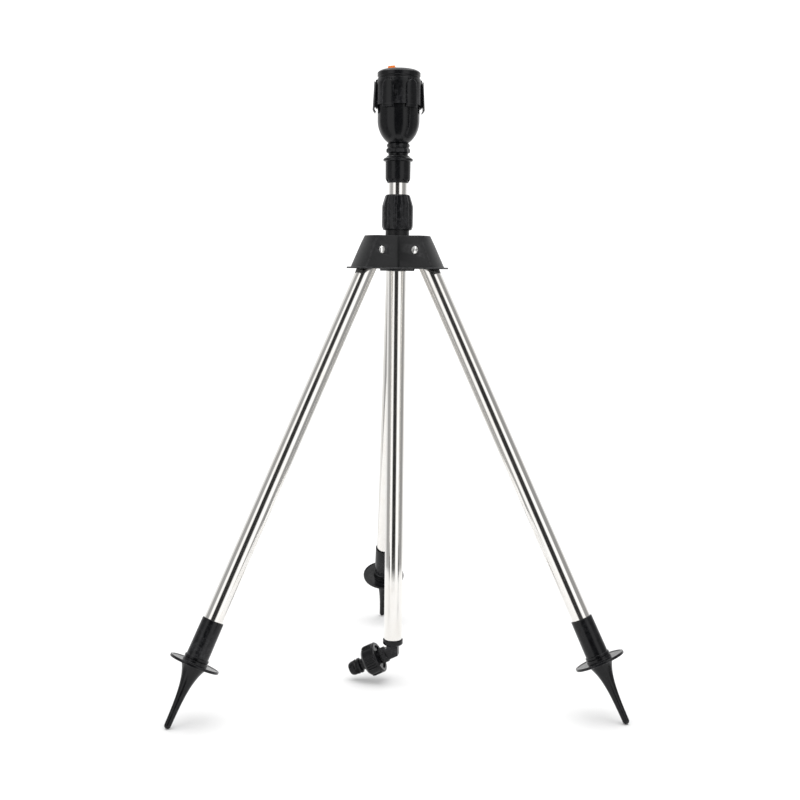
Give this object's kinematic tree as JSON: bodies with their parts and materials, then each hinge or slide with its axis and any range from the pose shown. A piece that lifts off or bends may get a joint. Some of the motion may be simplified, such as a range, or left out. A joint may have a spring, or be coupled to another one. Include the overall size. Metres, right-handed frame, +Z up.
{
  "type": "tripod garden sprinkler",
  "caption": "Rotating garden sprinkler on a folding tripod of polished tubes, with a clamped telescopic riser, ground spikes and a side hose connector at the foot.",
  "frame": {"origin": "on the ground, at the centre of the bounding box's footprint", "axes": "+Z up along the riser, +Y towards the rear leg, +X to the right seen from the front"},
  "size_m": [0.4532, 0.4006, 0.649],
  "materials": {
    "housing": "satin black, fine moulded grain",
    "moulding": "semi-gloss black",
    "stainless": "polished drawn stainless tube",
    "screw_steel": "bright zinc plated",
    "rubber": "matt black rubber",
    "nozzle_orange": "semi-gloss orange",
    "gear_white": "natural white acetal"
  },
  "bodies": {
    "hub": {"hub_housing": "housing", "pivot_screw_rear": "screw_steel", "pivot_screw_left": "screw_steel", "pivot_screw_right": "screw_steel", "pivot_nut_rear": "screw_steel", "pivot_nut_left": "screw_steel", "pivot_nut_right": "screw_steel"},
    "leg_rear": {"leg_knuckle_rear": "moulding", "leg_tube_rear": "stainless", "foot_rear": "moulding"},
    "leg_left": {"leg_knuckle_left": "moulding", "leg_tube_left": "stainless", "foot_left": "moulding"},
    "leg_right": {"leg_knuckle_right": "moulding", "leg_tube_right": "stainless", "foot_right": "moulding"},
    "collet": {"collet": "gear_white"},
    "riser": {"riser_tube": "stainless", "riser_coupling": "moulding", "coupling_washer": "rubber", "neck_adapter": "moulding", "bowl": "moulding", "retaining_collar": "moulding", "stator_plate": "gear_white", "turbine_axle": "screw_steel", "gear_plate": "gear_white", "turret_washer": "rubber", "inlet_ferrule": "moulding", "inlet_elbow": "moulding", "inlet_washer": "rubber", "hose_nipple": "moulding", "nipple_seal": "rubber"},
    "clamp_washer": {"clamp_washer": "rubber"},
    "clamp_nut": {"clamp_nut": "moulding"},
    "union_nut": {"union_nut": "moulding"},
    "turret": {"turret_cap": "moulding", "ring_gear": "gear_white", "nozzle": "nozzle_orange"},
    "idler_gear": {"idler_gear": "gear_white"},
    "turbine": {"turbine": "gear_white"}
  },
  "joints": [
    {"name": "leg_fold_rear", "type": "hinge", "parent": "hub", "child": "leg_rear", "pos_m": [0, -0.03356, 0.46263], "axis": [1, 0, 0], "range_deg": [-19, 0]},
    {"name": "leg_fold_left", "type": "hinge", "parent": "hub", "child": "leg_left", "pos_m": [-0.02373, -0.07466, 0.46263], "axis": [-0.5, 0.866, 0], "range_deg": [-19, 0]},
    {"name": "leg_fold_right", "type": "hinge", "parent": "hub", "child": "leg_right", "pos_m": [0.02373, -0.07466, 0.46263], "axis": [-0.5, -0.866, 0], "range_deg": [-19, 0]},
    {"name": "riser_turn", "type": "hinge", "parent": "hub", "child": "collet", "pos_m": [0, -0.06096, 0.5], "axis": [0, 0, 1], "continuous": true},
    {"name": "riser_lift", "type": "slide", "parent": "collet", "child": "riser", "axis": [0, 0, 1], "range_m": [-0.004, 0.32]},
    {"name": "clamp_rise", "type": "slide", "parent": "hub", "child": "clamp_washer", "axis": [0, 0, 1], "range_m": [0, 0.0031]},
    {"name": "clamp_turn", "type": "hinge", "parent": "clamp_washer", "child": "clamp_nut", "pos_m": [0, -0.06096, 0.5], "axis": [0, 0, 1], "range_deg": [0, 540]},
    {"name": "union_turn", "type": "hinge", "parent": "riser", "child": "union_nut", "pos_m": [-0.02092, -0.05652, 0.0239], "axis": [-0.8715, 0.1853, -0.454], "continuous": true},
    {"name": "turret_spin", "type": "hinge", "parent": "riser", "child": "turret", "pos_m": [0, -0.06096, 0.63999], "axis": [0, 0, 1], "continuous": true},
    {"name": "idler_spin", "type": "hinge", "parent": "riser", "child": "idler_gear", "pos_m": [0.01036, -0.06096, 0.59999], "axis": [0, 0, 1], "continuous": true},
    {"name": "turbine_spin", "type": "hinge", "parent": "riser", "child": "turbine", "pos_m": [0, -0.06096, 0.59], "axis": [0, 0, 1], "continuous": true}
  ],
  "couplings": [
    {"joint": "clamp_rise", "follows": "clamp_turn", "m_per_rad": 0.00031831},
    {"joint": "idler_spin", "follows": "turret_spin", "ratio": 4},
    {"joint": "turbine_spin", "follows": "turret_spin", "ratio": -12}
  ]
}
